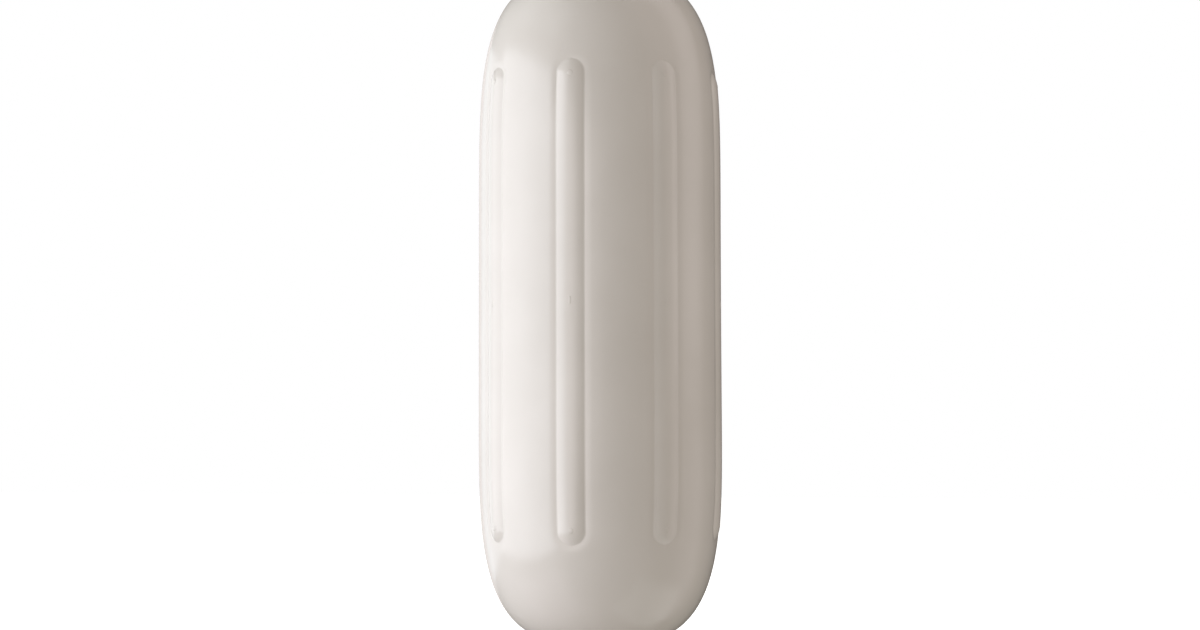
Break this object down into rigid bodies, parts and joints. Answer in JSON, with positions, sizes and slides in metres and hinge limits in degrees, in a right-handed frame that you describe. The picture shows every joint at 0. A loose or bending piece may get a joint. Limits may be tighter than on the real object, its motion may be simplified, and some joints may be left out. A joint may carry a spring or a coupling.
{
  "type": "boat fender",
  "caption": "Ribbed inflatable boat fender of off-white vinyl: a blunt-ended cylinder with a moulded rope eye at each end and a needle valve beside the upper eye.",
  "frame": {"origin": "middle of the fender's box: on its long axis, halfway between the tips of the two rope eyes", "axes": "+Z along the fender towards the eye beside the valve; both rope holes run along Y; a rib faces -Y"},
  "size_m": [0.1676, 0.1676, 0.559],
  "materials": {
    "vinyl": "satin",
    "valve_rubber": "matte"
  },
  "bodies": {
    "root": {"fender_body": "vinyl", "inflation_valve": "valve_rubber"}
  },
  "joints": []
}
